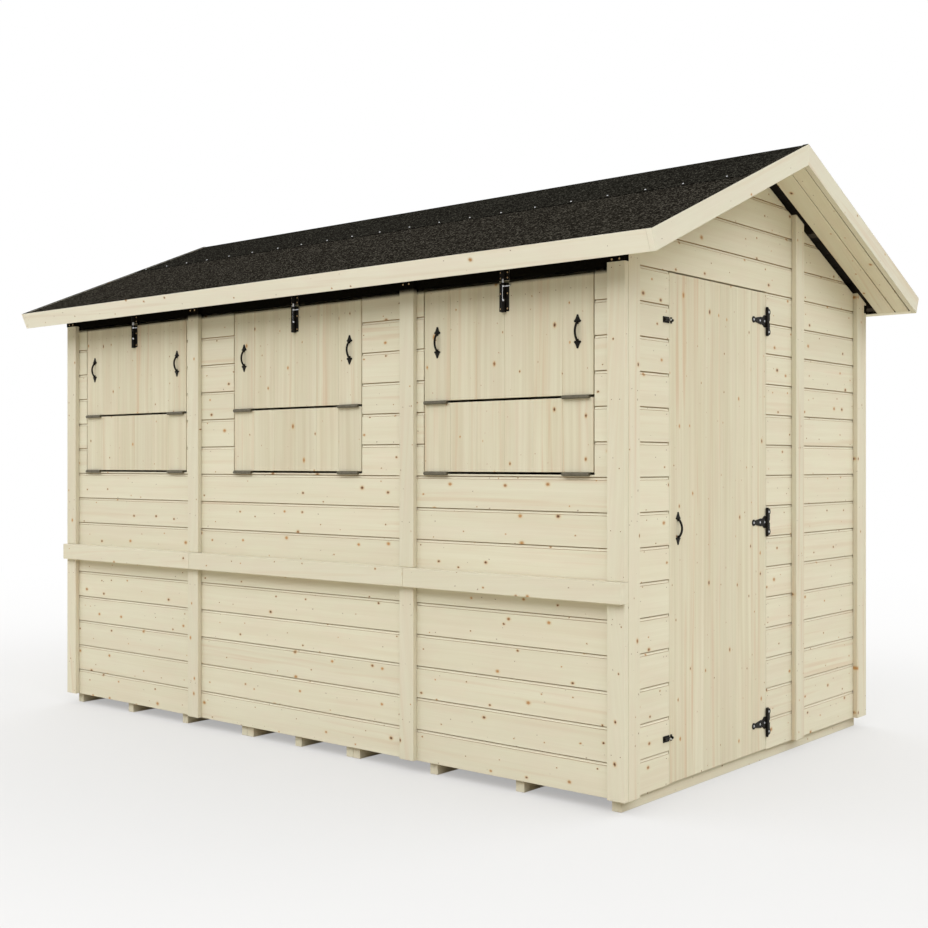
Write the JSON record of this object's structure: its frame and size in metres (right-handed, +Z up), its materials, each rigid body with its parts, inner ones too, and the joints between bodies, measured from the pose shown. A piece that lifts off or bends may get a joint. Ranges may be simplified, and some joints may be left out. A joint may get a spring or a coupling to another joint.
{
  "type": "timber bar shed",
  "caption": "Apex timber garden bar shed with drop-front serving hatches over a counter rail, a boarded gable door, floor on bearers and a felted roof.",
  "frame": {"origin": "ground level under the middle of the shed", "axes": "+X along the front wall towards the door gable, +Y from the front wall to the back wall, +Z up"},
  "size_m": [3.38, 2.096, 2.226],
  "materials": {
    "wall_boards": "pale sawn spruce shiplap, satin",
    "leaf_boards": "pale planed spruce matchboard, satin",
    "planed_trim": "pale planed spruce, satin",
    "framing": "sawn spruce battens, matt",
    "floor_boards": "planed spruce boards, matt",
    "roof_deck": "dark bitumen-faced roof boards, matt",
    "mineral_felt": "black mineral roofing felt, gritty",
    "black_iron": "black enamelled iron, low sheen",
    "bright_steel": "zinc plated steel, satin",
    "zinc_hinge": "dull grey-green plated steel"
  },
  "bodies": {
    "shed": {"floor_bearers": "framing", "floor_left": "floor_boards", "floor_middle": "floor_boards", "floor_right": "floor_boards", "front_wall_left": "wall_boards", "front_wall_middle": "wall_boards", "front_wall_right": "wall_boards", "back_wall_left": "wall_boards", "back_wall_middle": "wall_boards", "back_wall_right": "wall_boards", "left_wall_front": "wall_boards", "left_wall_rear": "wall_boards", "right_wall_latch_side": "wall_boards", "right_wall_hinge_side": "wall_boards", "right_wall_over_door": "wall_boards", "right_wall_rear": "wall_boards", "front_frames": "framing", "back_frames": "framing", "left_frames": "framing", "right_frames": "framing", "corner_strips": "planed_trim", "joint_strips": "planed_trim", "counter_rail": "planed_trim", "hatch_left_lower": "leaf_boards", "hatch_left_upper": "leaf_boards", "hatch_middle_lower": "leaf_boards", "hatch_middle_upper": "leaf_boards", "hatch_right_lower": "leaf_boards", "hatch_right_upper": "leaf_boards", "hatch_hinges": "zinc_hinge", "hatch_pulls": "black_iron", "hatch_bolts": "black_iron", "bolt_rods": "bright_steel", "hinge_plates": "black_iron", "door_bolts": "black_iron", "roof_deck_front": "roof_deck", "roof_deck_back": "roof_deck", "roof_purlins": "framing", "soffit_boards": "wall_boards", "side_felts": "mineral_felt", "ridge_felt": "mineral_felt", "fascia_boards": "planed_trim", "barge_boards": "planed_trim"},
    "door": {"door_boards": "leaf_boards", "door_ledges": "framing", "door_straps": "black_iron", "door_pull": "black_iron", "door_keepers": "black_iron"}
  },
  "joints": [
    {"name": "door_hinge", "type": "hinge", "parent": "shed", "child": "door", "pos_m": [1.502, 0.055, 0.877], "axis": [0, 0, 1], "range_deg": [0, 160]}
  ]
}
